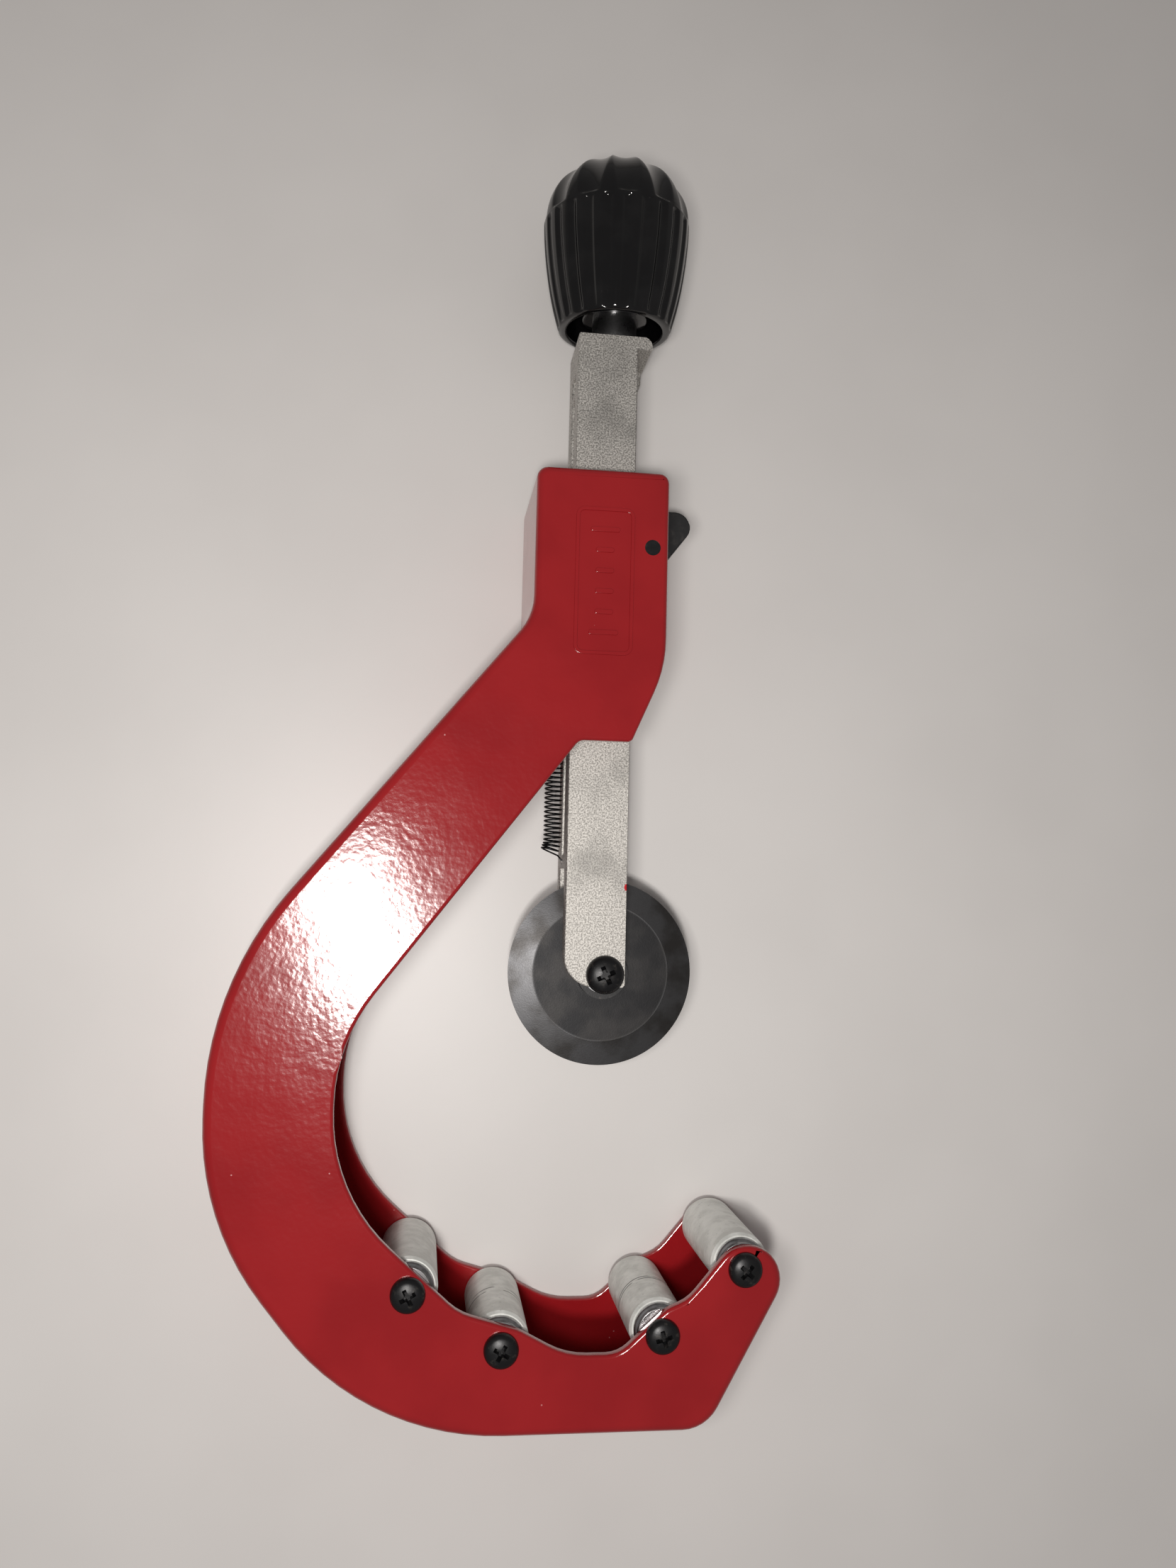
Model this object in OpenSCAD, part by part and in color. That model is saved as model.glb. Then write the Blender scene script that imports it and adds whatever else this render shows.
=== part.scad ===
// Pipe cutter with a C-shaped roller frame, a quick-release slide and a cutting wheel.
// It lies on the back face of its frame: +Z is up, +Y runs along the slide towards the knob.
// The origin is on the back face, at the centre of the circle that the four rollers stand on.

/* [Frame] */
// Thickness of the frame from back face to front face
frame_t = 44; // [42:0.5:46]
// Thickness of each cheek
cheek_t = 3; // [2.5:0.1:3.5]
// Thickness of the web that joins the cheeks
web_t = 3; // [2.5:0.1:3.2]
// Radius of the circle through the four roller axes
cradle_r = 55.5; // [55:0.1:56]
// Height of the raised border and marks on the head
border_h = 0.4; // [0.2:0.1:0.8]
// Width of the raised border
border_w = 0.9; // [0.6:0.1:1.2]

/* [Rollers] */
// Outside diameter of a roller
roller_d = 14.4; // [13:0.2:15]
// Diameter of the screws that carry the rollers
roller_screw_d = 4; // [4:0.5:5]
// Head diameter of the roller screws
roller_head_d = 8.4; // [8:0.1:9]
// Thickness of the spacer at the front end of a roller
spacer_t = 2.2; // [1.5:0.1:3]

/* [Slide] */
// Width of the slide across its front face
slide_w = 15.8; // [15:0.1:16]
// Depth of the slide from back to front
slide_d = 19; // [18.5:0.1:19.5]
// Thickness of the slide's front and back walls, which end as the fork
slide_leg_t = 4; // [3.5:0.1:4]
// Gap between the slide and the sides of its passage
slide_gap = 0.3; // [0.2:0.05:0.4]

/* [Cutting wheel] */
// Diameter over the cutting edge
wheel_d = 48; // [44:1:50]
// Thickness of the wheel's flat middle
wheel_t = 2.6; // [2:0.2:8]
// Diameter of the flat middle, inside the bevel
wheel_flat_d = 35.5; // [30:0.5:38]
// Height of the wheel's axis above the middle of the roller circle, as pictured
wheel_y = 34.3; // [32:0.1:36]
// Diameter of the screw through the fork
wheel_screw_d = 5; // [4:0.5:5]
// Head diameter of the screw through the fork
wheel_head_d = 9.8; // [9:0.1:11]

/* [Feed screw] */
// Outside diameter of the thread
thread_d = 9; // [8.6:0.1:9]
// Depth of the thread
thread_depth = 1.2; // [1:0.1:1.3]
// Advance of the slide for one turn of the knob
thread_lead = 4; // [4:4]
// Diameter of the plain journal in the slide's end plate
journal_d = 8; // [7.5:0.1:8]

/* [Knob] */
// Largest diameter of the knob
knob_d = 39.4; // [36:0.2:40]
// Number of flutes round the knob
flutes = 24; // [16:1:28]

/* [Latch] */
// Diameter of the pin that the lever turns on
latch_pin_d = 4; // [3.5:0.1:4]
// Width of the lever along the pin
lever_w = 9.2; // [8:0.2:9.6]

/* [Return spring] */
// Outside diameter of the coil
spring_d = 4.8; // [4.2:0.1:5]
// Thickness of the wire
spring_wire = 0.5; // [0.4:0.05:0.7]

/* [Hidden] */

$fn = 64;
chord_error = 0.04;                 // how far an outline's arcs may stray from a true circle
eps = 0.01;

mid = frame_t / 2;                  // height of the slide's and wheel's middle plane
run_gap = 0.05;                     // radial clearance of a running fit
head_top = 161.2;
head_left = -13.1;
head_right = 20.4;
cavity_top = 116;                   // the channel between the cheeks ends here, inside the head

// Corners of the frame's outline: [x, y, radius of the corner]
outer_corners = [
    [head_right, 111.8, 34],
    [head_right, head_top, 2.6],
    [head_left, head_top, 2.6],
    [head_left, 123.5, 14],
    [-87.5, 32.2, 80],
    [-87.5, -23.1, 68],
    [-47.2, -73.6, 67],
    [34, -73.6, 10],
    [54.7, -36, 8.5],
    [42.1, -27.1, 8.5]
];
inner_corners = [
    [29, -42.6, 11],
    [23.6, -44.7, 8],
    [12, -55, 8],
    [-0.5, -55, 20],
    [-12, -48.9, 6],
    [-26.5, -44.6, 14],
    [-57.3, -16.9, 43],
    [-57.3, 18.4, 43],
    [-1, 92.6, 2.5],
    [12.1, 92.6, 1.5]
];

roller_angles = [-134, -107, -66, -39.7];
roller_places = [for (a = roller_angles) cradle_r * [cos(a), sin(a)]];
roller_play = 0.35;                 // end play of a roller
roller_z0 = cheek_t + roller_play;
roller_z1 = frame_t - cheek_t - spacer_t - roller_play;
roller_head_h = 2.6;

slide_x0 = -2.2;
slide_x1 = slide_x0 + slide_w;
slide_z0 = mid - slide_d / 2;
slide_z1 = mid + slide_d / 2;
slide_y0 = 31;                      // end of the fork
slide_y1 = 201.4;                   // top of the end plate
web_end = 61;                       // the slide's web stops here, above the wheel
channel_w = slide_d - 2 * slide_leg_t;
slide_web_t = 3.5;
plate_y = 192.8;                    // underside of the end plate

screw_x = 8.4;                      // the wheel, the feed screw and the knob share this line
thread_y0 = 62;
thread_y1 = 150;
thread_r = thread_d / 2;
thread_ecc = thread_depth / 2;
core_r = thread_r - thread_depth;
insert_y1 = 224;
spigot_r = 3.5;
clip_y = 191.5;
clip_t = 1;
clip_groove_r = 3;
washer_t = 1;
insert_y0 = slide_y1 + washer_t + 0.2;

latch_x = 16.3;
latch_y = 141.7;
tooth_y0 = 120;                     // lowest tooth of the half nut
teeth = 3;
pocket_w = lever_w + 1;             // width of the latch's pocket
pocket_x = 18.4;                    // far side of the latch's pocket
latch_spring_y = 125;

spring_x = slide_x0 - 0.3 - spring_d / 2;
spring_y0 = 64;
spring_y1 = 149;
anchor_y = 151;
anchor_d = 2.4;

bush_d = 10;
wheel_head_h = 3.2;
nut_h = 4;
nut_flats = 8;

knob_y0 = 206;
knob_y1 = 252;
knob_rim_r = 15.2;
knob_bow = 95;                      // radius of the knob's bowed side
knob_bow_corner = 16.4;             // height above the rim where the tangents of that side meet
crown_r = 16.8;                     // radius of the domed crown

// ---- outlines with round corners ----

function unit(v) = v / norm(v);
function xy(p) = [p[0], p[1]];
function turned(v, a) = [v[0] * cos(a) - v[1] * sin(a), v[0] * sin(a) + v[1] * cos(a)];

// The points of one rounded corner at b, between a and c
function corner(a, b, c, r) =
    let (u = unit(a - b), v = unit(c - b), half = acos(u * v) / 2,
         middle = b + unit(u + v) * r / sin(half),
         start = b + u * r / tan(half) - middle,
         turn = sign(cross(b - a, c - b)) * (180 - 2 * half),
         steps = ceil(abs(turn) / (2 * acos(1 - chord_error / r))))
    [for (i = [0:steps]) middle + turned(start, turn * i / steps)];

function rounded(path) =
    let (n = len(path))
    [for (i = [0:n - 1])
        each (path[i][2] == 0 ? [xy(path[i])]
              : corner(xy(path[(i + n - 1) % n]), xy(path[i]), xy(path[(i + 1) % n]), path[i][2]))];

// Corner b moved so that both its edges go inwards by d, with its radius kept in step
function inset_corner(a, b, c, d) =
    let (p = unit(b - a), q = unit(c - b), side = [-p[1], p[0]],
         other = [-q[1], q[0]], m = side + other)
    b + m * d / (1 + side * other);

function inset(path, first, last, d) =
    [for (i = [first:last])
        let (c = inset_corner(xy(path[i - 1]), xy(path[i]), xy(path[i + 1]), d))
        [c[0], c[1], max(path[i][2] - d, 1)]];

// ---- helpers ----

module along_y(x, y, z = mid) {
    translate([x, y, z]) rotate([-90, 0, 0]) children();
}

module box(x0, x1, y0, y1, z0, z1) {
    translate([x0, y0, z0]) cube([x1 - x0, y1 - y0, z1 - z0]);
}

module at_rollers() {
    for (p = roller_places) translate([p[0], p[1], 0]) children();
}

// A pan head with a cross recess, its underside at z = 0
module pan_head(d, h) {
    dome = d * 0.72;
    recess = d * 0.17;
    difference() {
        intersection() {
            cylinder(d = d, h = h);
            translate([0, 0, h - dome]) sphere(r = dome);
        }
        for (a = [45, 135]) rotate([0, 0, a])
            translate([-d * 0.28, -recess / 2, h * 0.45]) cube([d * 0.56, recess, h]);
    }
}

// ---- frame ----

module channel_outline() {
    path = outer_corners;
    elbow = 3;                      // the corner under the head, and the last one before the tip
    heel = 8;
    walls = inset(path, elbow + 1, heel - 1, web_t);
    arm = unit(xy(path[elbow + 1]) - xy(path[elbow]));
    foot = xy(path[elbow]) + [-arm[1], arm[0]] * web_t;
    top_left = foot + arm * (cavity_top - foot[1]) / arm[1];
    side = unit(xy(path[heel]) - xy(path[heel - 1]));
    end = xy(path[heel]) + [-side[1], side[0]] * web_t + side * 25;
    polygon(rounded(concat(
        [[60, cavity_top, 0], [top_left[0], top_left[1], 3]],
        walls,
        [[end[0], end[1], 0]])));
}

module head_hollows() {
    guide_t = 3;                    // walls that guide the slide inside the head
    near = slide_z0 - slide_gap - guide_t;
    far = slide_z1 + slide_gap + guide_t;
    // passage of the slide
    box(slide_x0 - slide_gap, slide_x1 + slide_gap, cavity_top - 1, head_top + 1,
        slide_z0 - slide_gap, slide_z1 + slide_gap);
    // groove for the return spring
    box(spring_x - spring_d / 2 - 0.6, slide_x0, cavity_top - 1, anchor_y + 4, mid - 3, mid + 3);
    // pocket and side window of the latch
    box(slide_x1, pocket_x, cavity_top - 1, head_top - 2.6, mid - pocket_w / 2, mid + pocket_w / 2);
    box(slide_x1, head_right + 1, 137.4, 158.6, mid - pocket_w / 2, mid + pocket_w / 2);
    // seat of the latch spring
    translate([pocket_x - 1, latch_spring_y, mid]) rotate([0, 90, 0]) cylinder(r = 2.2, h = 2);
    // cores that keep the casting's walls even
    for (z = [[cheek_t, near], [far, frame_t - cheek_t]])
        box(head_left + web_t, head_right - web_t, cavity_top - 1, head_top - web_t, z[0], z[1]);
}

module head_border() {
    w = 14.8;
    h = 37.2;
    marks = 6;
    translate([4.2, 132.6, frame_t - eps]) {
        linear_extrude(border_h + eps) difference() {
            rounded_rectangle(w, h, 2.2);
            rounded_rectangle(w - 2 * border_w, h - 2 * border_w, 1.3);
        }
        for (i = [0:marks - 1])
            translate([0, (i - (marks - 1) / 2) * 5.2, 0])
                linear_extrude(border_h + eps) rounded_rectangle(i % 5 == 0 ? 7.4 : 4.6, 1.2, 0.5);
    }
}

module rounded_rectangle(w, h, r) {
    polygon(rounded([[w / 2, h / 2, r], [-w / 2, h / 2, r], [-w / 2, -h / 2, r], [w / 2, -h / 2, r]]));
}

module frame_body() {
    color("#a81e24") difference() {
        union() {
            linear_extrude(frame_t) polygon(rounded(concat(outer_corners, inner_corners)));
            head_border();
            // nib left by the casting gate
            translate([-57.4, 15, frame_t - cheek_t]) cylinder(r = 1.6, h = cheek_t + 0.3);
        }
        translate([0, 0, cheek_t]) linear_extrude(frame_t - 2 * cheek_t) channel_outline();
        head_hollows();
        // clearance holes in front, tapped holes behind
        at_rollers() {
            translate([0, 0, mid]) cylinder(d = roller_screw_d + 0.3, h = frame_t);
            translate([0, 0, -1]) cylinder(d = roller_screw_d, h = mid);
        }
        translate([latch_x, latch_y, -1]) cylinder(d = latch_pin_d, h = frame_t + 2);
        // blind hole of the spring's anchor pin
        translate([spring_x, anchor_y, -1]) cylinder(d = anchor_d, h = mid + 8 + 1);
    }
}

// ---- rollers ----

module roller(i) {
    p = roller_places[i];
    bevel = 0.6;
    color("#b9bcbb") translate([p[0], p[1], 0]) rotate_extrude() polygon([
        [roller_screw_d / 2 + run_gap, roller_z0],
        [roller_d / 2 - bevel, roller_z0],
        [roller_d / 2, roller_z0 + bevel],
        [roller_d / 2, roller_z1 - bevel],
        [roller_d / 2 - bevel, roller_z1],
        [roller_screw_d / 2 + run_gap, roller_z1]
    ]);
}

module roller_1() { roller(0); }
module roller_2() { roller(1); }
module roller_3() { roller(2); }
module roller_4() { roller(3); }

module roller_screws() {
    color("#1c1c1e") at_rollers() {
        translate([0, 0, 0.6]) cylinder(d = roller_screw_d, h = frame_t - 0.6);
        translate([0, 0, frame_t]) pan_head(roller_head_d, roller_head_h);
    }
}

module roller_washers() {
    color("#8f9294") at_rollers()
        translate([0, 0, frame_t - cheek_t - spacer_t]) difference() {
            union() {
                cylinder(d = 11, h = spacer_t);
                cylinder(d = 12.6, h = spacer_t * 0.6);
            }
            translate([0, 0, -1]) cylinder(d = roller_screw_d + 0.1, h = spacer_t + 2);
        }
}

// ---- slide ----

module fork_outline() {
    polygon(rounded([
        [slide_x0, slide_y0, 8], [slide_x1, slide_y0, 1.2],
        [slide_x1, slide_y1, 1.2], [slide_x0, slide_y1, 0.8]
    ]));
}

module slide_bar() {
    lip = 3.8;
    lip_y = slide_y1 - 3.6;
    color("#b4b5b1") difference() {
        union() {
            translate([0, 0, slide_z0]) linear_extrude(slide_d) fork_outline();
            // lip that stops the slide at the head, with a gusset at the back
            translate([0, 0, slide_z0]) linear_extrude(slide_d) polygon(rounded([
                [slide_x1 - 3, slide_y1, 0], [slide_x1 - 3, lip_y, 0],
                [slide_x1 + lip, lip_y, 0.4], [slide_x1 + lip, slide_y1, 2.6]
            ]));
            translate([0, 0, slide_z0]) linear_extrude(slide_leg_t) polygon([
                [slide_x1 - 1, lip_y + 1], [slide_x1 - 1, 186.5],
                [slide_x1 + 0.8, 187.5], [slide_x1 + lip - 0.6, lip_y - 3.5],
                [slide_x1 + lip - 0.4, lip_y + 1]
            ]);
        }
        // channel, open towards the latch
        box(slide_x0 + slide_web_t, slide_x1 + lip + 1, slide_y0 - 1, plate_y,
            mid - channel_w / 2, mid + channel_w / 2);
        // the fork: no web beside the wheel
        box(slide_x0 - 1, slide_x1, slide_y0 - 1, web_end, mid - channel_w / 2, mid + channel_w / 2);
        // groove beside the return spring, and the hole for its hook
        box(slide_x0 - 1, slide_x0 + 0.8, web_end + 3.5, 186, mid - 3, mid + 3);
        translate([slide_x0 - 1, web_end + 1.8, mid]) rotate([0, 90, 0]) cylinder(r = 0.8, h = 6);
        // window on the retaining clip
        box(slide_x0 - 1, slide_x0 + slide_web_t + 1, 188, plate_y, mid - 3.6, mid + 3.6);
        // bore of the feed screw in the end plate
        along_y(screw_x, plate_y - 1) cylinder(d = journal_d + 2 * run_gap, h = 12);
        // holes of the wheel's screw
        translate([screw_x, wheel_y, mid]) cylinder(d = wheel_screw_d, h = slide_d, center = true);
        translate([screw_x, wheel_y, mid - slide_d / 2 - 1])
            cylinder(d = wheel_screw_d + 0.3, h = slide_d + 2);
    }
}

// ---- feed screw and knob ----

module feed_screw() {
    turns = (thread_y1 - thread_y0) / thread_lead;
    color("#9a9c9e") union() {
        along_y(screw_x, thread_y0)
            linear_extrude(thread_y1 - thread_y0, twist = -360 * turns, slices = turns * 10, $fn = 14)
                translate([thread_ecc, 0]) circle(r = core_r + thread_ecc);
        along_y(screw_x, thread_y1 - 0.5) rotate_extrude() polygon([
            [0, 0],
            [journal_d / 2, 0],
            [journal_d / 2, clip_y - thread_y1 + 0.5],
            [clip_groove_r, clip_y - thread_y1 + 0.5],
            [clip_groove_r, clip_y + clip_t - thread_y1 + 0.5],
            [journal_d / 2, clip_y + clip_t - thread_y1 + 0.5],
            [journal_d / 2, insert_y0 - thread_y1 + 0.5],
            [spigot_r, insert_y0 - thread_y1 + 0.5],
            [spigot_r, insert_y1 - thread_y1 + 0.5],
            [0, insert_y1 - thread_y1 + 0.5]
        ]);
    }
}

module retaining_clip() {
    color("#c9a63c") difference() {
        along_y(screw_x, clip_y) difference() {
            cylinder(r = 5.1, h = clip_t);
            translate([0, 0, -1]) cylinder(r = clip_groove_r, h = clip_t + 2);
        }
        box(screw_x + 1, screw_x + 7, clip_y - 1, clip_y + clip_t + 1, mid - 2.4, mid + 2.4);
    }
}

module thrust_washer() {
    color("#9a9c9e") along_y(screw_x, slide_y1) difference() {
        cylinder(r = 7, h = washer_t);
        translate([0, 0, -1]) cylinder(d = journal_d + 2 * run_gap, h = washer_t + 2);
    }
}

module knob_insert() {
    color("#8f9294") along_y(screw_x, insert_y0) difference() {
        cylinder(r = 6, h = insert_y1 - insert_y0);
        translate([0, 0, -1]) cylinder(r = spigot_r, h = insert_y1 - insert_y0 + 2);
    }
}

// Section of the knob: [radius, height above its rim, corner radius]
function knob_section() =
    let (r = knob_d / 2, h = knob_y1 - knob_y0, boss_h = insert_y1 - knob_y0)
    [[0, h, 0], [r, h, crown_r], [r, knob_bow_corner, knob_bow],
     [knob_rim_r, 0, 1], [12.8, 0, 0.6], [15, 19, 2], [9, 19, 1], [9, 3, 0.8], [6, 3, 0],
     [6, boss_h, 0], [0, boss_h, 0]];

module knob() {
    r = knob_d / 2;
    h = knob_y1 - knob_y0;
    shoulder = h - crown_r;         // the side meets the crown here
    bite = 0.7;                     // depth of a flute
    flute_r = 1.7;
    scallops = 12;                  // hollows round the crown
    scallop_r = 9;
    scallop_arc = 19.1;             // radius of a scallop from the rim to the top of the crown
    scallop_y = shoulder - 1.8;     // height of that radius's centre
    scallop_foot = 6.6;             // the hollows run from this angle to the next
    scallop_end = 76;
    color("#151517") along_y(screw_x, knob_y0) difference() {
        rotate_extrude() polygon(rounded(knob_section()));
        for (i = [0:flutes - 1]) rotate([0, 0, i * 360 / flutes])
            translate([r - knob_bow, 0, shoulder]) rotate([90, 0, 0]) rotate([0, 0, -20])
                rotate_extrude(angle = 20) translate([knob_bow + flute_r - bite, 0])
                    circle(r = flute_r, $fn = 24);
        for (i = [0:scallops - 1]) rotate([0, 0, i * 360 / scallops])
            translate([0, 0, scallop_y]) rotate([90, 0, 0]) rotate([0, 0, scallop_foot])
                rotate_extrude(angle = scallop_end - scallop_foot) translate([scallop_arc + scallop_r, 0])
                    circle(r = scallop_r, $fn = 60);
    }
}

// ---- latch ----

module latch_lever() {
    lean = 13.3;                    // side of the lever that faces the thread
    reach = 38;                     // half angle of the half nut's teeth
    tip_r = core_r + 0.3;
    pitch_r = core_r + thread_depth * 0.75;
    tilt = atan(thread_lead / (2 * PI * pitch_r));
    color("#18181a") union() {
        difference() {
            translate([0, 0, mid - lever_w / 2]) linear_extrude(lever_w) polygon(rounded([
                [15.6, 156.4, 1], [lean, latch_y, 3], [lean, 117.6, 0.6], [15.8, 117.6, 0.8],
                [16.6, 136.6, 2], [20, 138.6, 1.5], [29.6, 151.2, 4], [28.7, 156.4, 4]
            ]));
            translate([latch_x, latch_y, 0]) cylinder(d = latch_pin_d + 2 * run_gap, h = frame_t);
        }
        intersection() {
            for (i = [0:teeth - 1])
                translate([screw_x, tooth_y0 + i * thread_lead, mid]) rotate([tilt, 0, 0])
                    rotate([-90, 0, 0]) rotate([0, 0, -reach]) rotate_extrude(angle = 2 * reach) polygon([
                        [tip_r, -0.3], [tip_r + 0.7, -1], [thread_r + 1.1, -1.45],
                        [thread_r + 1.1, 1.45], [tip_r + 0.7, 1], [tip_r, 0.3]
                    ]);
            box(screw_x, 14.4, 117.6, 135, mid - lever_w / 2, mid + lever_w / 2);
        }
    }
}

module latch_pin() {
    color("#202022") translate([latch_x, latch_y, 0.2])
        cylinder(d = latch_pin_d, h = frame_t - 0.4);
}

module latch_spring() {
    rings = 4;
    start = 16.3;
    end = pocket_x + 0.9;
    color("#26262a") for (i = [0:rings - 1])
        translate([start + 0.2 + i * (end - start - 0.4) / (rings - 1), latch_spring_y, mid])
            rotate([0, 90, 0]) rotate_extrude() translate([1.6, 0]) circle(r = 0.2, $fn = 16);
}

// ---- return spring ----

// The envelope of the coil, open inside
module return_spring() {
    color("#202024") along_y(spring_x, spring_y0) difference() {
        cylinder(d = spring_d, h = spring_y1 - spring_y0);
        translate([0, 0, -1]) cylinder(d = spring_d - 2 * spring_wire, h = spring_y1 - spring_y0 + 2);
    }
}

module spring_anchor_pin() {
    color("#8f9294") translate([spring_x, anchor_y, 0.3]) cylinder(d = anchor_d, h = mid + 7);
}

// ---- cutting wheel ----

module cutting_wheel() {
    edge = 0.15;                    // half thickness of the cutting edge
    half = wheel_t / 2;
    color("#3a3b3d") translate([screw_x, wheel_y, mid]) rotate_extrude($fn = 128) polygon([
        [bush_d / 2 + run_gap, -half], [wheel_flat_d / 2, -half],
        [wheel_d / 2, -edge], [wheel_d / 2, edge],
        [wheel_flat_d / 2, half], [bush_d / 2 + run_gap, half]
    ]);
}

module wheel_bush() {
    color("#8f9294") translate([screw_x, wheel_y, mid - channel_w / 2]) difference() {
        cylinder(d = bush_d, h = channel_w);
        translate([0, 0, -1]) cylinder(d = wheel_screw_d, h = channel_w + 2);
    }
}

module wheel_washers() {
    gap = 0.1;
    t = (channel_w - wheel_t) / 2 - gap;
    color("#8f9294") for (z = [mid - channel_w / 2, mid + channel_w / 2 - t])
        translate([screw_x, wheel_y, z]) difference() {
            cylinder(d = 13, h = t);
            translate([0, 0, -1]) cylinder(d = bush_d, h = t + 2);
        }
}

module wheel_screw() {
    color("#1c1c1e") translate([screw_x, wheel_y, 0]) {
        translate([0, 0, slide_z0 - nut_h]) cylinder(d = wheel_screw_d, h = slide_d + nut_h);
        translate([0, 0, slide_z1]) pan_head(wheel_head_d, wheel_head_h);
    }
}

module wheel_nut() {
    color("#1c1c1e") translate([screw_x, wheel_y, slide_z0 - nut_h]) difference() {
        cylinder(d = nut_flats / cos(30), h = nut_h, $fn = 6);
        translate([0, 0, -1]) cylinder(d = wheel_screw_d, h = nut_h + 2);
    }
}

frame_body();
roller_1();
roller_2();
roller_3();
roller_4();
roller_screws();
roller_washers();
slide_bar();
feed_screw();
thrust_washer();
retaining_clip();
knob();
knob_insert();
latch_lever();
latch_pin();
latch_spring();
return_spring();
spring_anchor_pin();
cutting_wheel();
wheel_bush();
wheel_screw();
wheel_nut();
wheel_washers();
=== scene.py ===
from math import atan2, cos, degrees, hypot, pi, radians, sin

import bmesh
import bpy
from mathutils import Matrix, Vector


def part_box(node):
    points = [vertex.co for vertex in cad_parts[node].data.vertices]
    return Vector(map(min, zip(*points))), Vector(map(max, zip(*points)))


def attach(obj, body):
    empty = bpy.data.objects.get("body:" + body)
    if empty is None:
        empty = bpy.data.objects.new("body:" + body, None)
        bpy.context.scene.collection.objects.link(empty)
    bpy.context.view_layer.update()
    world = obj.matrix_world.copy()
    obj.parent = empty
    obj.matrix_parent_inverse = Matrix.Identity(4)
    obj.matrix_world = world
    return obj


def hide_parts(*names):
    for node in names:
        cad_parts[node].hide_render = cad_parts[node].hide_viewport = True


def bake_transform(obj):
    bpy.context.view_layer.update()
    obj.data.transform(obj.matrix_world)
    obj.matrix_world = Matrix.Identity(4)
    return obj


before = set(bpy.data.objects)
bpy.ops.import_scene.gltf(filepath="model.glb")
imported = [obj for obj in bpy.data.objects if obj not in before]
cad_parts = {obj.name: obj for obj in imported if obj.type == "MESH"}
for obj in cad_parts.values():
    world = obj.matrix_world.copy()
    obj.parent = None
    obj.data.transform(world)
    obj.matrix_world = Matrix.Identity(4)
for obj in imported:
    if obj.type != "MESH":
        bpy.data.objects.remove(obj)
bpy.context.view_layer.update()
mm = 0.001


def middle(node):
    low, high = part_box(node)
    return (low + high) / 2


borderRise = 0.4  # height of the raised border on the head
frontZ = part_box("frame_body")[1].z - borderRise * mm
midZ = middle("cutting_wheel").z
screwX = middle("feed_screw").x
wheelCentre = middle("cutting_wheel")
rollerNames = ["roller_1", "roller_2", "roller_3", "roller_4"]


def smoothStep(low, high, value):
    t = min(max((value - low) / (high - low), 0), 1)
    return t * t * (3 - 2 * t)


def cadCopy(node):
    bm = bmesh.new()
    bm.from_mesh(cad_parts[node].data)
    bmesh.ops.remove_doubles(bm, verts=bm.verts, dist=2e-6)
    bmesh.ops.dissolve_limit(bm, angle_limit=radians(0.4), verts=bm.verts, edges=bm.edges)
    return bm


def placed(name, bm):
    # a bmesh as an object in the scene
    mesh = bpy.data.meshes.new(name)
    bm.to_mesh(mesh)
    bm.free()
    made = bpy.data.objects.new(name, mesh)
    bpy.context.scene.collection.objects.link(made)
    return made


def finishPiece(name, bm, look, body, stands=(), sharp=32, weighted=True):
    piece = placed(name, bm)
    mesh = piece.data
    for face in mesh.polygons:
        face.use_smooth = True
    if sharp:
        mesh.set_sharp_from_angle(angle=radians(sharp))
    if weighted:
        even = piece.modifiers.new("even shading", "WEIGHTED_NORMAL")  # keeps the flat faces flat
        even.keep_sharp = True
    mesh.materials.append(look.material)
    if body:
        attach(piece, body)
    if stands:
        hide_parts(*stands)
    return piece


def spunShape(profile, steps, axis=(0, 0, 1), rounds=None):
    # a profile of (radius, height) in mm turned round an axis; rounds gives some corners a radius
    bm = bmesh.new()
    side = Vector((1, 0, 0))
    verts = [bm.verts.new(side * r * mm + Vector(axis) * h * mm) for r, h in profile]
    for a, b in zip(verts, verts[1:]):
        bm.edges.new((a, b))
    for corner, size in (rounds or {}).items():
        bmesh.ops.bevel(bm, geom=[verts[corner]], offset=size * mm, offset_type="OFFSET", segments=4,
                        profile=0.5, affect="VERTICES", material=-1, clamp_overlap=True)
    bmesh.ops.spin(bm, geom=bm.verts[:] + bm.edges[:], cent=(0, 0, 0), axis=axis, angle=2 * pi,
                   steps=steps, use_merge=True, use_duplicate=False)
    bmesh.ops.remove_doubles(bm, verts=bm.verts, dist=1e-7)
    bmesh.ops.dissolve_degenerate(bm, edges=bm.edges, dist=1e-7)
    bmesh.ops.recalc_face_normals(bm, faces=bm.faces)
    return bm


def bigLoops(edges, least):
    # the connected runs of edges whose box is at least that long
    left, loops = set(edges), []
    while left:
        run, queue = [], [left.pop()]
        while queue:
            edge = queue.pop()
            run.append(edge)
            near = {e for v in edge.verts for e in v.link_edges if e in left}
            left -= near
            queue.extend(near)
        points = [v.co for e in run for v in e.verts]
        spans = [max(p[i] for p in points) - min(p[i] for p in points) for i in range(3)]
        if max(spans) >= least:
            loops.extend(run)
    return loops


def isCorner(edge, least=35):
    return len(edge.link_faces) == 2 and edge.calc_face_angle_signed(0) > radians(least)


def isFlatAt(edge, z, slack=2e-5):
    return all(abs(v.co.z - z) < slack for v in edge.verts)


def roundEdges(bm, edges, size, segments):
    bmesh.ops.bevel(bm, geom=edges, offset=size * mm, offset_type="OFFSET", segments=segments,
                    profile=0.5, affect="EDGES", material=-1, clamp_overlap=False)
    bmesh.ops.remove_doubles(bm, verts=bm.verts, dist=1e-6)


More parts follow.
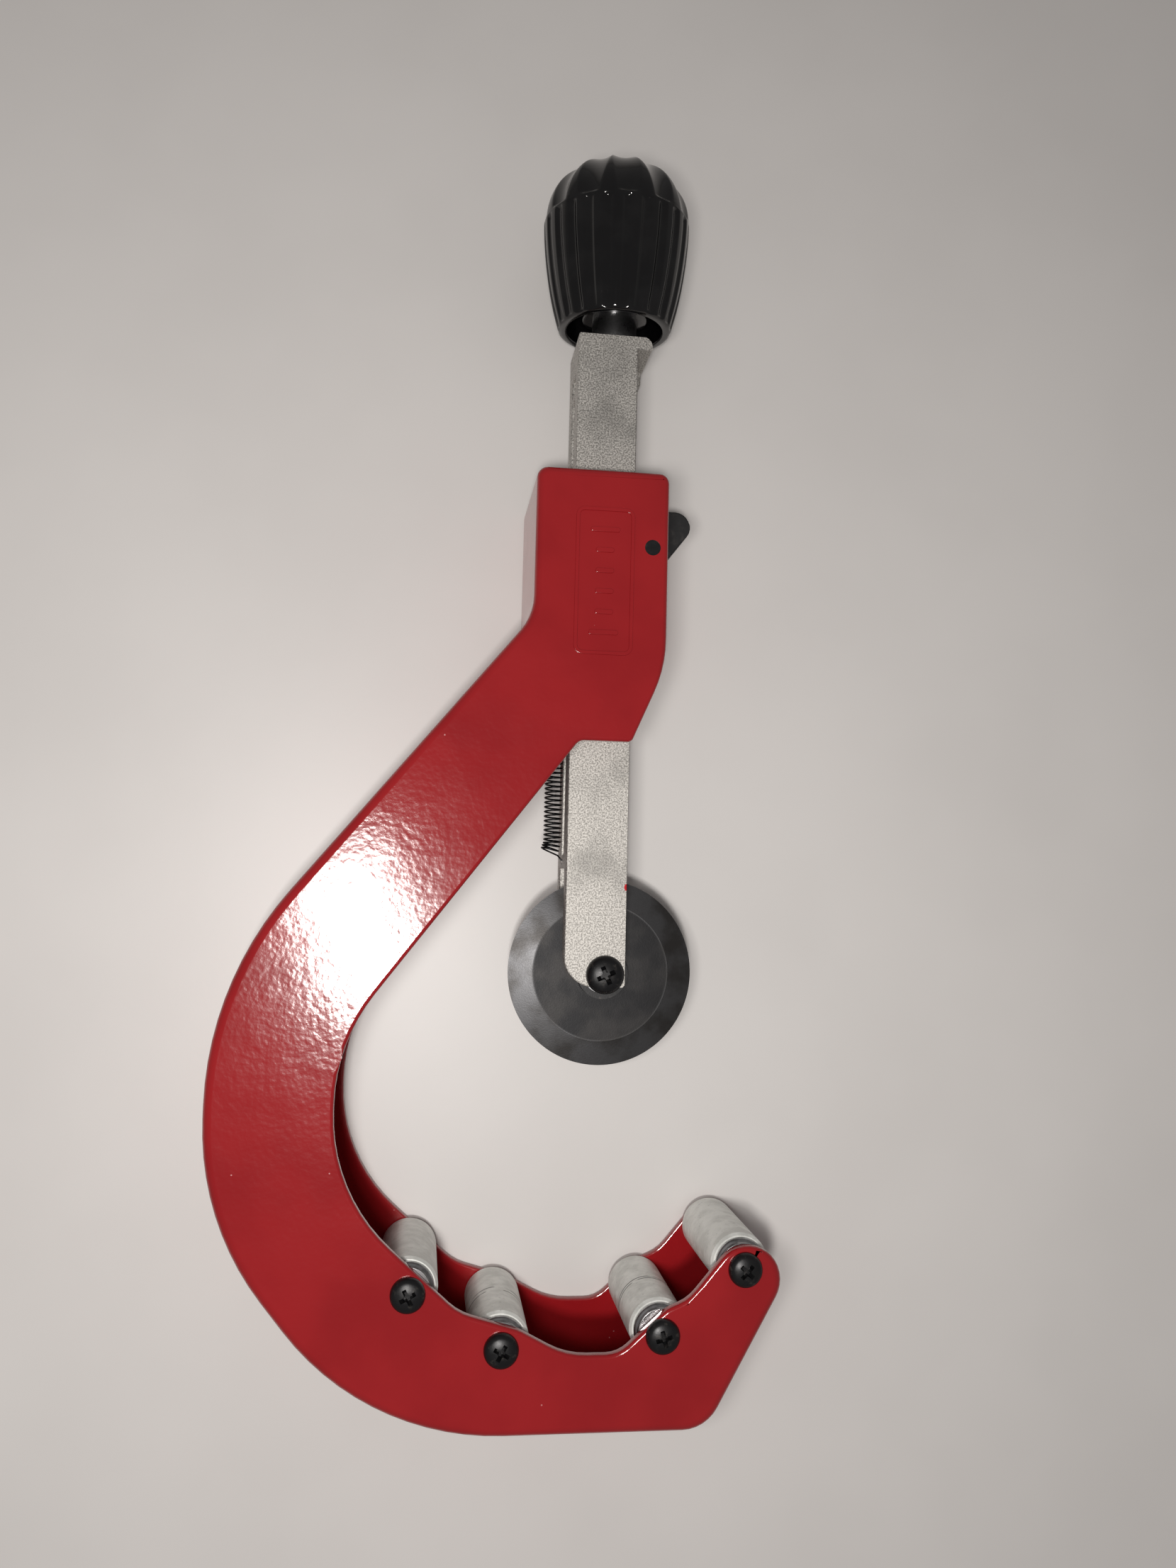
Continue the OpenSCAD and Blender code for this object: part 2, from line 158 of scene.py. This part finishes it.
def takeShape(holder):
    # the finished shape of an object with modifiers or of a curve, as a new bmesh
    bpy.context.view_layer.update()
    depsgraph = bpy.context.evaluated_depsgraph_get()
    mesh = bpy.data.meshes.new_from_object(holder.evaluated_get(depsgraph))
    bpy.data.objects.remove(holder)
    bm = bmesh.new()
    bm.from_mesh(mesh)
    bpy.data.meshes.remove(mesh)
    return bm


def wire(name, points, radius):
    curve = bpy.data.curves.new(name, "CURVE")
    curve.dimensions = "3D"
    curve.bevel_depth = radius
    curve.bevel_resolution = 2
    curve.use_fill_caps = True
    spline = curve.splines.new("POLY")
    spline.points.add(len(points) - 1)
    for point, place in zip(spline.points, points):
        point.co = (*place, 1)
    holder = bpy.data.objects.new(name + "_line", curve)
    bpy.context.scene.collection.objects.link(holder)
    return takeShape(holder)


class Signal:  # a shader socket that takes part in sums
    def __init__(self, look, socket):
        self.look, self.socket = look, socket

    def math(self, operation, a, b=0.0):
        return self.look.node("ShaderNodeMath", {"operation": operation}, {0: a, 1: b})["Value"]

    def __add__(self, other):
        return self.math("ADD", self, other)

    def __sub__(self, other):
        return self.math("SUBTRACT", self, other)

    def __rsub__(self, other):
        return self.math("SUBTRACT", other, self)

    def __mul__(self, other):
        return self.math("MULTIPLY", self, other)

    __radd__ = __add__
    __rmul__ = __mul__

    def ramped(self, low, high):  # 0 below low, 1 above high
        settings = {"interpolation_type": "SMOOTHSTEP"}
        inputs = {"Value": self, 1: low, 2: high}
        return self.look.node("ShaderNodeMapRange", settings, inputs)["Result"]

    def distance(self, value):
        return self.math("ABSOLUTE", self - value)


class Outputs:
    def __init__(self, look, node):
        self.look, self.node = look, node

    def __getitem__(self, name):
        return Signal(self.look, self.node.outputs[name])


class Look:  # a material in the making
    def __init__(self, name, **values):
        self.material = bpy.data.materials.new(name)
        self.material.use_nodes = True
        self.tree = self.material.node_tree
        self.shader = self.tree.nodes["Principled BSDF"]
        self.place = self.node("ShaderNodeTexCoord")["Object"]
        self.set(**values)

    def node(self, kind, settings=None, inputs=None):
        made = self.tree.nodes.new(kind)
        for name, value in (settings or {}).items():
            setattr(made, name, value)
        for name, value in (inputs or {}).items():
            self.feed(made.inputs[name], value)
        return Outputs(self, made)

    def feed(self, socket, value):
        if isinstance(value, Signal):
            self.tree.links.new(value.socket, socket)
        else:
            socket.default_value = value

    def set(self, **values):
        for name, value in values.items():
            self.feed(self.shader.inputs[name.replace("_", " ")], value)

    def moved(self, centre=(0, 0, 0), scale=(1, 1, 1)):
        settings = {"vector_type": "POINT"}
        shift = tuple(-c * s for c, s in zip(centre, scale))
        inputs = {"Vector": self.place, "Location": shift, "Scale": scale}
        return self.node("ShaderNodeMapping", settings, inputs)["Vector"]

    def noise(self, size, detail=2.0, roughness=0.5, place=None):  # size of a cell in mm
        inputs = {"Vector": place or self.place, "Scale": 1 / (size * mm), "Detail": detail,
                  "Roughness": roughness}
        return self.node("ShaderNodeTexNoise", None, inputs)["Fac"]

    def cells(self, size, place=None):
        inputs = {"Vector": place or self.place, "Scale": 1 / (size * mm)}
        return self.node("ShaderNodeTexVoronoi", {"feature": "F1"}, inputs)["Distance"]

    def mix(self, factor, a, b):
        made = self.node("ShaderNodeMix", {"data_type": "RGBA"})
        for index, value in ((0, factor), (6, a), (7, b)):
            self.feed(made.node.inputs[index], (*value, 1) if isinstance(value, tuple) else value)
        return Signal(self, made.node.outputs[2])

    def bump(self, height, depth, strength=1.0):  # depth in mm
        inputs = {"Height": height, "Distance": depth * mm, "Strength": strength}
        self.set(Normal=self.node("ShaderNodeBump", None, inputs)["Normal"])

    def radius(self, centre, scale=(1, 1, 0)):  # distance from centre, by default from its line along Z
        offset = self.moved(centre, scale)
        return self.node("ShaderNodeVectorMath", {"operation": "LENGTH"}, {0: offset})["Value"]

    def along(self, axis):
        return self.node("ShaderNodeSeparateXYZ", None, {0: self.place})[axis]


redPaintStyle = {"base": (0.31, 0.011, 0.014), "deep": (0.265, 0.008, 0.011), "pale": (0.6, 0.25, 0.25),
                 "peel": 1.3, "peelDepth": 0.035, "rough": 0.11}


def redPaint():
    s = redPaintStyle
    look = Look("red_paint", IOR=1.5)
    clouds = look.noise(26, 3)
    specks = look.cells(3.4)
    chance = look.noise(5, 1)
    chip = (1 - specks.ramped(0.04, 0.07)) * chance.ramped(0.66, 0.7)  # tiny flecks where the coat is thin
    colour = look.mix(clouds.ramped(0.35, 0.7), s["base"], s["deep"])
    look.set(Base_Color=look.mix(chip * 0.7, colour, s["pale"]))
    look.set(Roughness=s["rough"] + look.noise(9, 4) * 0.05 + chip * 0.2)
    peel = look.noise(s["peel"], 2, 0.4)
    look.bump(peel + look.noise(4.5, 1) * 1.2, s["peelDepth"], 1.0)
    return look


castStyle = {"dab": (0.0134, 0.0565, 0.0315), "dabColour": (0.4, 0.01, 0.015), "dark": (0.24, 0.23, 0.215),
             "light": (0.62, 0.60, 0.565)}


def castAluminium():
    s = castStyle
    look = Look("cast_aluminium", Metallic=0.72)
    grain = look.noise(0.42, 3, 0.65)
    patch = look.noise(14, 3)
    rub = look.noise(3, 4, 0.6, look.moved((0, 0, 0), (1, 0.25, 1)))
    colour = look.mix(grain.ramped(0.38, 0.62), s["dark"], s["light"])
    colour = look.mix(patch.ramped(0.5, 0.75) * 0.45, colour, (0.17, 0.165, 0.155))
    colour = look.mix(rub.ramped(0.62, 0.75) * 0.25, colour, (0.5, 0.48, 0.46))
    dab = 1 - look.radius(s["dab"], (1.3, 0.75, 1)).ramped(0.0005, 0.0008)
    look.set(Base_Color=look.mix(dab, colour, s["dabColour"]))  # a spot of stray paint on the bar
    look.set(Roughness=0.42 + grain * 0.3)
    look.bump(grain + look.noise(1.3, 2) * 0.5, 0.06, 0.9)
    return look


def turnedAluminium(name, centre, rings):
    look = Look(name, Metallic=0.4)
    stain = look.noise(5.5, 5, 0.62)
    fine = look.noise(1.1, 3)
    turned = look.noise(0.25, 2, 0.5, look.moved(centre, (0.05, 0.05, 1)))
    colour = look.mix(stain.ramped(0.36, 0.66), (0.62, 0.63, 0.60), (0.82, 0.83, 0.80))
    colour = look.mix(fine.ramped(0.62, 0.75) * 0.35, colour, (0.28, 0.28, 0.27))
    broken = look.noise(4, 2).ramped(0.38, 0.5)
    height = look.along("Z")
    for ring in rings:
        line = (1 - height.distance(midZ + ring * mm).ramped(0.00012, 0.0004)) * broken
        colour = look.mix(line * 0.85, colour, (0.05, 0.05, 0.05))
    look.set(Base_Color=colour, Roughness=0.38 + stain * 0.25)
    look.bump(turned + fine * 0.5, 0.02, 0.7)
    return look


def brightSteel():
    look = Look("bright_steel", Metallic=1.0)
    streak = look.noise(0.3, 2, 0.5, look.moved((0, 0, 0), (0.1, 0.1, 1)))
    soil = look.noise(2.5, 4)
    look.set(Base_Color=look.mix(soil.ramped(0.4, 0.7), (0.40, 0.40, 0.41), (0.20, 0.20, 0.20)))
    look.set(Roughness=0.2 + soil * 0.2)
    look.bump(streak, 0.012, 0.5)
    return look


def blackOxide():
    look = Look("black_oxide", Metallic=0.35)
    worn = look.noise(1.7, 4, 0.6)
    look.set(Base_Color=look.mix(worn.ramped(0.55, 0.78), (0.008, 0.008, 0.009), (0.05, 0.045, 0.04)))
    look.set(Roughness=0.22 + worn * 0.28)
    look.bump(look.noise(0.5, 2), 0.015, 0.6)
    return look


def wheelSteel():
    look = Look("wheel_steel", Metallic=0.85)
    radius = look.radius(wheelCentre)
    paintedLitBevel = radius.ramped(0.0172, 0.0180)  # painted light and shade: the bevel is coloured lighter and the flat darker, for how each face reflects the lamps
    turn = look.noise(0.5, 3, 0.6, look.moved(wheelCentre, (1, 1, 1)))
    smear = look.noise(8, 4)
    grit = look.noise(0.35, 3)
    # painted shade on the flat and painted light on the bevel; the smear gives both a real random tone
    flat = look.mix(smear.ramped(0.35, 0.7), (0.016, 0.016, 0.017), (0.028, 0.027, 0.027))
    bevel = look.mix(smear.ramped(0.4, 0.7), (0.075, 0.075, 0.078), (0.040, 0.038, 0.037))
    look.set(Base_Color=look.mix(paintedLitBevel, flat, bevel))
    look.set(Roughness=0.34 + grit * 0.12 - paintedLitBevel * 0.04 + smear * 0.06)
    look.bump(grit + turn * 0.5, 0.02, 0.6)
    return look


def knobPlastic():
    look = Look("knob_plastic", IOR=1.52)
    haze = look.noise(7, 3)
    look.set(Base_Color=look.mix(haze.ramped(0.4, 0.7), (0.002, 0.002, 0.0025), (0.005, 0.005, 0.0055)))
    look.set(Roughness=0.06 + haze * 0.08 + look.noise(0.8, 3).ramped(0.6, 0.8) * 0.12)
    look.bump(look.noise(1.6, 2), 0.012, 0.6)
    return look


def leverPaint():
    look = Look("lever_black", Metallic=0.1)
    wear = look.noise(2.2, 4)
    look.set(Base_Color=look.mix(wear.ramped(0.5, 0.75), (0.010, 0.010, 0.011), (0.028, 0.026, 0.025)))
    look.set(Roughness=0.36 + wear * 0.2)
    look.bump(look.noise(0.7, 2), 0.02, 0.7)
    return look


def springWire():
    look = Look("spring_wire", Metallic=0.8)
    scale = look.noise(0.9, 3)
    look.set(Base_Color=look.mix(scale.ramped(0.4, 0.7), (0.012, 0.012, 0.013), (0.05, 0.05, 0.052)))
    look.set(Roughness=0.28 + scale * 0.2)
    look.bump(scale, 0.01, 0.5)
    return look


def yellowZinc():
    look = Look("yellow_zinc", Metallic=1.0)
    rainbow = look.noise(1.5, 3)
    look.set(Base_Color=look.mix(rainbow.ramped(0.35, 0.65), (0.72, 0.58, 0.16), (0.56, 0.62, 0.22)))
    look.set(Roughness=0.2 + rainbow * 0.15)
    look.bump(look.noise(0.6, 2), 0.01, 0.5)
    return look


paint = redPaint()
castMetal = castAluminium()
steel = brightSteel()
oxide = blackOxide()
wheelMetal = wheelSteel()
plastic = knobPlastic()
leverCoat = leverPaint()
springMetal = springWire()
zinc = yellowZinc()
print("finishes made")


frameStyle = {"outerFillet": 2.4, "innerFillet": 0.9, "pinFillet": 1.4, "steps": 5, "cheekFillet": 0.6,
              "borderFillet": 0.14, "cheekThick": 3, "jawCentre": (0, 0.02, 0), "smoothing": 6}
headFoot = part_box("latch_lever")[0].y - 8 * mm  # the head lies above this line


def outlineSize(edge, centre):
    # large fillets outside the C and round the head, small ones along the jaw
    s = frameStyle
    place = (edge.verts[0].co + edge.verts[1].co) / 2
    side = min(edge.link_faces, key=lambda f: abs(f.normal.z)).normal
    inside = side.x * (centre.x - place.x) + side.y * (centre.y - place.y) > 0 and place.y < headFoot
    if place.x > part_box("latch_pin")[0].x and place.y > headFoot:
        return s["pinFillet"]  # leaves the rim of the pin's hole whole
    return s["innerFillet"] if inside else s["outerFillet"]


def makeFrame():
    s = frameStyle
    bm = cadCopy("frame_body")
    weight = bm.edges.layers.float.new("bevel_weight_edge")
    border = bigLoops([e for e in bm.edges if isCorner(e) and isFlatAt(e, frontZ + borderRise * mm)], 0.001)
    roundEdges(bm, border, s["borderFillet"], 2)
    cheeks = (s["cheekThick"] * mm, frontZ - s["cheekThick"] * mm)
    inner = bigLoops([e for e in bm.edges if isCorner(e) and any(isFlatAt(e, z) for z in cheeks)], 0.03)
    roundEdges(bm, inner, s["cheekFillet"], 2)
    faces = (0, frontZ)
    outline = bigLoops([e for e in bm.edges if isCorner(e) and any(isFlatAt(e, z) for z in faces)], 0.03)
    sizes = {e: outlineSize(e, Vector(s["jawCentre"])) for e in outline}
    for turn in range(s["smoothing"]):  # the fillet grows and shrinks gently along the outline
        near = {e: [n for v in e.verts for n in v.link_edges if n in sizes and n is not e] for e in sizes}
        sizes = {e: (sizes[e] + sum(sizes[n] for n in near[e])) / (1 + len(near[e])) for e in sizes}
    for e, size in sizes.items():
        e[weight] = size / s["outerFillet"]
    blank = placed("casting_blank", bm)
    fillet = blank.modifiers.new("fillets", "BEVEL")
    fillet.limit_method = "WEIGHT"
    fillet.width = s["outerFillet"] * mm
    fillet.segments = s["steps"]
    fillet.use_clamp_overlap = False
    finishPiece("painted_frame", takeShape(blank), paint, "frame", ["frame_body"])


makeFrame()
print("frame made")


rollerStyle = {"rings": {"roller_2": (0.6, -1.6), "roller_3": (-0.4, 0.9)}}
collarStyle = {"bore": 2.05, "base": 6.3, "neck": 5.4, "steps": 64}


def dressRollers():
    for name in rollerNames:
        look = turnedAluminium(name + "_metal", middle(name), rollerStyle["rings"].get(name, ()))
        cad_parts[name].data.materials.clear()
        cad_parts[name].data.materials.append(look.material)


def makeCollars():
    s = collarStyle
    low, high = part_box("roller_washers")
    thick = (high.z - low.z) / mm
    bore, base, neck = s["bore"], s["base"], s["neck"]
    profile = [(bore, 0), (base, 0), (base, thick * 0.45), (neck, thick * 0.7), (neck, thick), (bore, thick),
               (bore, 0)]
    for name in rollerNames:
        bm = spunShape(profile, s["steps"], rounds={1: 0.3, 2: 0.45, 3: 0.3, 4: 0.15})
        place = middle(name)
        bmesh.ops.translate(bm, verts=bm.verts, vec=(place.x, place.y, low.z))
        finishPiece("collar_" + name[-1], bm, steel, "frame", ["roller_washers"])


dressRollers()
makeCollars()
print("rollers made")


screwStyle = {"turns": (28, 62, 15, 48), "headSize": 8.4, "headHeight": 2.6, "steps": 48, "shankSteps": 40}
axleStyle = {"turn": 24, "headSize": 9.8, "headHeight": 3.2, "shank": 2.5, "chamfer": 0.4}


def crossTool(width, span, depth, top):
    bm = bmesh.new()
    for turn in (0, 90):
        made = bmesh.ops.create_cube(bm, size=1)["verts"]
        for v in made:
            deep = v.co.z < 0
            v.co.x *= span * (0.42 if deep else 1) * mm
            v.co.y *= width * (0.6 if deep else 1) * mm
            v.co.z = (top - depth if deep else top + 0.6) * mm
        bmesh.ops.rotate(bm, verts=made, cent=(0, 0, 0), matrix=Matrix.Rotation(radians(turn), 3, "Z"))
    made = bmesh.ops.create_cone(bm, segments=24, radius1=width * 0.5 * mm, radius2=width * 0.9 * mm,
                                 depth=(depth + 0.6) * mm, cap_ends=True)["verts"]
    bmesh.ops.translate(bm, verts=made, vec=(0, 0, (top + 0.3 - depth / 2) * mm))
    return bm


def panHead(name, size, height, turn, place, body, stands):
    r = size / 2
    profile = [(0, height), (r * 0.5, height * 0.965), (r * 0.84, height * 0.74), (r * 0.985, height * 0.42),
               (r, 0.12), (r - 0.1, 0), (0, 0)]
    bm = spunShape(profile, screwStyle["steps"], rounds={1: r * 0.25, 2: r * 0.14, 3: r * 0.1})
    head = placed(name + "_blank", bm)
    toolForm = crossTool(size * 0.14, size * 0.6, height * 0.66, height)
    bmesh.ops.recalc_face_normals(toolForm, faces=toolForm.faces)
    tool = placed(name + "_tool", toolForm)
    cut = head.modifiers.new("recess", "BOOLEAN")
    cut.operation = "DIFFERENCE"
    cut.solver = "EXACT"
    cut.use_self = True
    cut.object = tool
    bm = takeShape(head)
    bpy.data.objects.remove(tool)
    bmesh.ops.rotate(bm, verts=bm.verts, cent=(0, 0, 0), matrix=Matrix.Rotation(radians(turn), 3, "Z"))
    bmesh.ops.translate(bm, verts=bm.verts, vec=place)
    finishPiece(name, bm, oxide, body, stands, sharp=40)


def screwShank(name, reach, foot, top, chamfer, place, body, stands):
    profile = [(0, foot), (reach - chamfer, foot), (reach, foot + chamfer), (reach, top), (0, top)]
    bm = spunShape(profile, screwStyle["shankSteps"])
    bmesh.ops.translate(bm, verts=bm.verts, vec=place)
    finishPiece(name, bm, oxide, body, stands)


def makeScrews():
    s = screwStyle
    for name, turn in zip(rollerNames, s["turns"]):
        place, stands = middle(name), ["roller_screws"]
        panHead("screw_head_" + name[-1], s["headSize"], s["headHeight"], turn, (place.x, place.y, frontZ),
                "frame", stands)
        screwShank("screw_shank_" + name[-1], 2, 0.6, 43.9, 0.4, (place.x, place.y, 0), "frame", stands)
    s = axleStyle
    low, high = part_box("wheel_screw")
    top = high.z - s["headHeight"] * mm
    x, y, stands = wheelCentre.x, wheelCentre.y, ["wheel_screw"]
    panHead("wheel_screw_head", s["headSize"], s["headHeight"], s["turn"], (x, y, top), "slide", stands)
    screwShank("wheel_screw_shank", s["shank"], 0, (top - low.z) / mm, s["chamfer"], (x, y, low.z), "slide",
               stands)


makeScrews()
print("screws made")


edgeStyle = {"slide_bar": 0.35, "latch_lever": 0.5, "wheel_nut": 0.3}


def softEdged(node, name, look, body):
    bm = cadCopy(node)
    edges = [e for e in bm.edges if isCorner(e, 50) and e.calc_length() > 1.1 * mm]
    roundEdges(bm, edges, edgeStyle[node], 2)
    finishPiece(name, bm, look, body, [node])


softEdged("slide_bar", "slide_casting", castMetal, "slide")
softEdged("latch_lever", "release_lever", leverCoat, "latch")
softEdged("wheel_nut", "axle_nut", oxide, "slide")
print("slide and lever made")


knobStyle = {"ribs": 24, "stepsPerRib": 16, "grooveDepth": 0.7, "grooveHalf": 1.4, "crown": 16.8,
             "petals": 12, "petalArc": 19.1, "petalRadius": 9, "petalDrop": 1.8, "foot": 6.6, "end": 76,
             "bowCorner": 16.4, "footRadius": 15.2, "wall": 15, "hollow": 19}


def makeKnob():
    s = knobStyle
    low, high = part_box("knob")
    tall = (high.y - low.y) / mm
    r = (high.x - low.x) / 2 / mm
    shoulder = tall - s["crown"]
    profile = [(0, tall), (r, tall), (r, s["bowCorner"]), (s["footRadius"], 0), (12.8, 0),
               (s["wall"], s["hollow"]), (9, s["hollow"]), (9, 3), (6, 3), (6, 18), (0, 18)]
    bm = bmesh.new()
    verts = [bm.verts.new((a * mm, b * mm, 0)) for a, b in profile]
    for a, b in zip(verts, verts[1:]):
        bm.edges.new((a, b))
    # corner of the profile, its radius, its steps
    rounds = ((1, s["crown"] - 0.01, 26), (2, 12.7, 12), (3, 0.9, 4), (4, 0.5, 3), (5, 1, 3), (6, 0.6, 3),
              (7, 0.5, 3))
    for corner, size, steps in rounds:
        bmesh.ops.bevel(bm, geom=[verts[corner]], offset=size * mm, offset_type="OFFSET", segments=steps,
                        profile=0.5, affect="VERTICES", material=-1, clamp_overlap=True)
    bmesh.ops.spin(bm, geom=bm.verts[:] + bm.edges[:], cent=(0, 0, 0), axis=(0, 1, 0), angle=2 * pi,
                   steps=s["ribs"] * s["stepsPerRib"], use_merge=True, use_duplicate=False)
    bmesh.ops.remove_doubles(bm, verts=bm.verts, dist=1e-7)
    # finer rows at the rim and round the shoulder
    for rise in (-28, -26, -20, -0.9, -0.6, -0.3, 0.2, 0.5, 0.8, 1.1):
        bmesh.ops.bisect_plane(bm, geom=bm.verts[:] + bm.edges[:] + bm.faces[:], dist=1e-7,
                               plane_co=(0, (shoulder + rise) * mm, 0), plane_no=(0, 1, 0))
    bmesh.ops.recalc_face_normals(bm, faces=bm.faces)
    for v in bm.verts:
        height, reach = v.co.y / mm, hypot(v.co.x, v.co.z) / mm
        if height < s["hollow"] + 0.5 and reach < s["wall"] + 0.1 or reach < 0.01:
            continue  # the hollow and the pole stay plain
        angle = atan2(v.co.z, v.co.x)
        pitch = 2 * pi / s["ribs"]
        across = abs((angle / pitch + 0.5) % 1 - 0.5) * pitch * reach / s["grooveHalf"]
        groove = (1 - across ** 2 + hypot(1 - across ** 2, 0.16)) / 2 * s["grooveDepth"]
        groove *= smoothStep(-0.3, 1.8, height) * (1 - smoothStep(shoulder - 0.9, shoulder - 0.1, height))
        pitch = 2 * pi / s["petals"]
        aside = ((angle / pitch + 0.5) % 1 - 0.5) * pitch
        out, side, up = reach * cos(aside), reach * sin(aside), height - shoulder + s["petalDrop"]
        limit = s["petalArc"] + side ** 2 / (2 * s["petalRadius"])
        span = hypot(out, up)
        climb = degrees(atan2(up, out))
        over = (span - limit + hypot(span - limit, 0.08)) / 2
        over *= smoothStep(s["foot"] - 1.4, s["foot"] + 1.4, climb)
        over *= 1 - smoothStep(s["end"] - 9, s["end"] + 1, climb)
        newReach = hypot(out * (1 - over / span), side) - groove
        v.co.x *= newReach / reach
        v.co.z *= newReach / reach
        v.co.y -= over * up / span * mm
    bmesh.ops.translate(bm, verts=bm.verts, vec=(screwX, low.y, midZ))
    finishPiece("grip_knob", bm, plastic, "knob", ["knob"], sharp=60, weighted=False)


makeKnob()
print("knob made")


springStyle = {"turns": 70, "perTurn": 14, "wire": 0.225, "pinLoop": 1.45}
latchCoilStyle = {"turns": 4, "perTurn": 16, "wire": 0.2}


def coilPiece(name, points, radius, stands):
    bm = wire(name, points, radius * mm)
    return finishPiece(name, bm, springMetal, None, [stands], sharp=None, weighted=False)


def makeReturnSpring():
    s = springStyle
    low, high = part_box("return_spring")
    centre, reach = middle("return_spring"), (high.x - low.x) / 2 - s["wire"] * mm
    loop = s["pinLoop"] * mm
    pin = middle("spring_anchor_pin")
    count = s["turns"] * s["perTurn"]
    points = []
    for i in range(9):  # loop round the anchor pin
        a = radians(-200 + i * 35)
        points.append((pin.x + loop * cos(a), pin.y + loop * sin(a), centre.z))
    for i in range(count + 1):
        a = i * 2 * pi / s["perTurn"]
        share = i / count
        y = high.y - 0.3 * mm - (high.y - low.y - 0.6 * mm) * share
        tail = smoothStep(0.95, 1, share)
        x = centre.x + reach * cos(a) - tail * 0.6 * mm
        points.append((x, y - tail * reach * (1 - cos(a)) * -0.35, centre.z + reach * sin(a)))
    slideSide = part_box("slide_bar")[0].x
    for inward, drop in ((-0.3, 0.7), (0.6, 1.2), (3, 1.2)):  # hook into the slide
        points.append((slideSide + inward * mm, low.y - drop * mm, centre.z))
    coil = coilPiece("return_coil", points, s["wire"], "return_spring")
    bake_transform(coil)


def makeLatchSpring():
    s = latchCoilStyle
    low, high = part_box("latch_spring")
    centre, reach = middle("latch_spring"), (high.y - low.y) / 2 - s["wire"] * mm
    count = s["turns"] * s["perTurn"]
    points = []
    for i in range(count + 1):
        a = i * 2 * pi / s["perTurn"]
        x = low.x + s["wire"] * mm + (high.x - low.x - 2 * s["wire"] * mm) * i / count
        points.append((x, centre.y + reach * cos(a), centre.z + reach * sin(a)))
    coil = coilPiece("latch_coil", points, s["wire"], "latch_spring")
    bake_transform(coil)


makeReturnSpring()
makeLatchSpring()
print("springs made")


keptLooks = {"feed_screw": steel, "thrust_washer": steel, "retaining_clip": zinc, "knob_insert": steel,
             "latch_pin": oxide, "spring_anchor_pin": steel, "cutting_wheel": wheelMetal, "wheel_bush": steel,
             "wheel_washers": oxide}
for node, look in keptLooks.items():
    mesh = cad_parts[node].data
    mesh.materials.clear()
    mesh.materials.append(look.material)
print("kept parts finished")


def makeFloor():
    bm = bmesh.new()
    bmesh.ops.create_grid(bm, x_segments=1, y_segments=1, size=3)
    board = placed("floor", bm)
    look = Look("floor_board", Roughness=0.4)
    tone = look.noise(60, 3)
    look.set(Base_Color=look.mix(tone.ramped(0.3, 0.75), (0.72, 0.70, 0.685), (0.69, 0.67, 0.655)))
    look.bump(look.noise(2.5, 3), 0.02, 0.4)
    board.data.materials.append(look.material)


def addLamp(name, place, target, size, power, colour):
    lamp = bpy.data.lights.new(name, "AREA")
    lamp.size = size
    lamp.energy = power
    lamp.color = colour
    holder = bpy.data.objects.new(name, lamp)
    holder.location = place
    holder.rotation_euler = (Vector(target) - Vector(place)).to_track_quat("-Z", "Y").to_euler()
    bpy.context.scene.collection.objects.link(holder)


# place, target, size, power, colour
lampStyle = {"key": ((-0.0615, -0.001, 0.505), (-0.045, 0.03, 0), 0.035, 1.15, (1.0, 0.965, 0.93)),
             "near": ((-0.073, 0.045, 0.365), (-0.03, 0.06, 0), 0.045, 0.4, (1.0, 0.965, 0.93))}
roomStyle = {"colour": (1.0, 0.955, 0.93, 1), "strength": 0.2}
cameraStyle = {"place": (-0.03932, 0.05907, 0.35234), "turn": (3.9876, -7.6008, 1.3705), "lens": 29.1157}


def lightAndShoot():
    for name, (place, target, size, power, colour) in lampStyle.items():
        addLamp(name, place, target, size, power, colour)
    bpy.context.scene.view_settings.view_transform = "Standard"
    world = bpy.data.worlds.new("room")
    bpy.context.scene.world = world
    world.use_nodes = True
    background = world.node_tree.nodes["Background"]
    background.inputs["Color"].default_value = roomStyle["colour"]
    background.inputs["Strength"].default_value = roomStyle["strength"]
    camera = bpy.data.cameras.new("camera")
    camera.sensor_width = 36
    camera.lens = cameraStyle["lens"]
    holder = bpy.data.objects.new("camera", camera)
    holder.location = cameraStyle["place"]
    holder.rotation_euler = [radians(a) for a in cameraStyle["turn"]]
    bpy.context.scene.collection.objects.link(holder)
    bpy.context.scene.camera = holder


makeFloor()
lightAndShoot()
print("stage set")

bpy.context.view_layer.update()
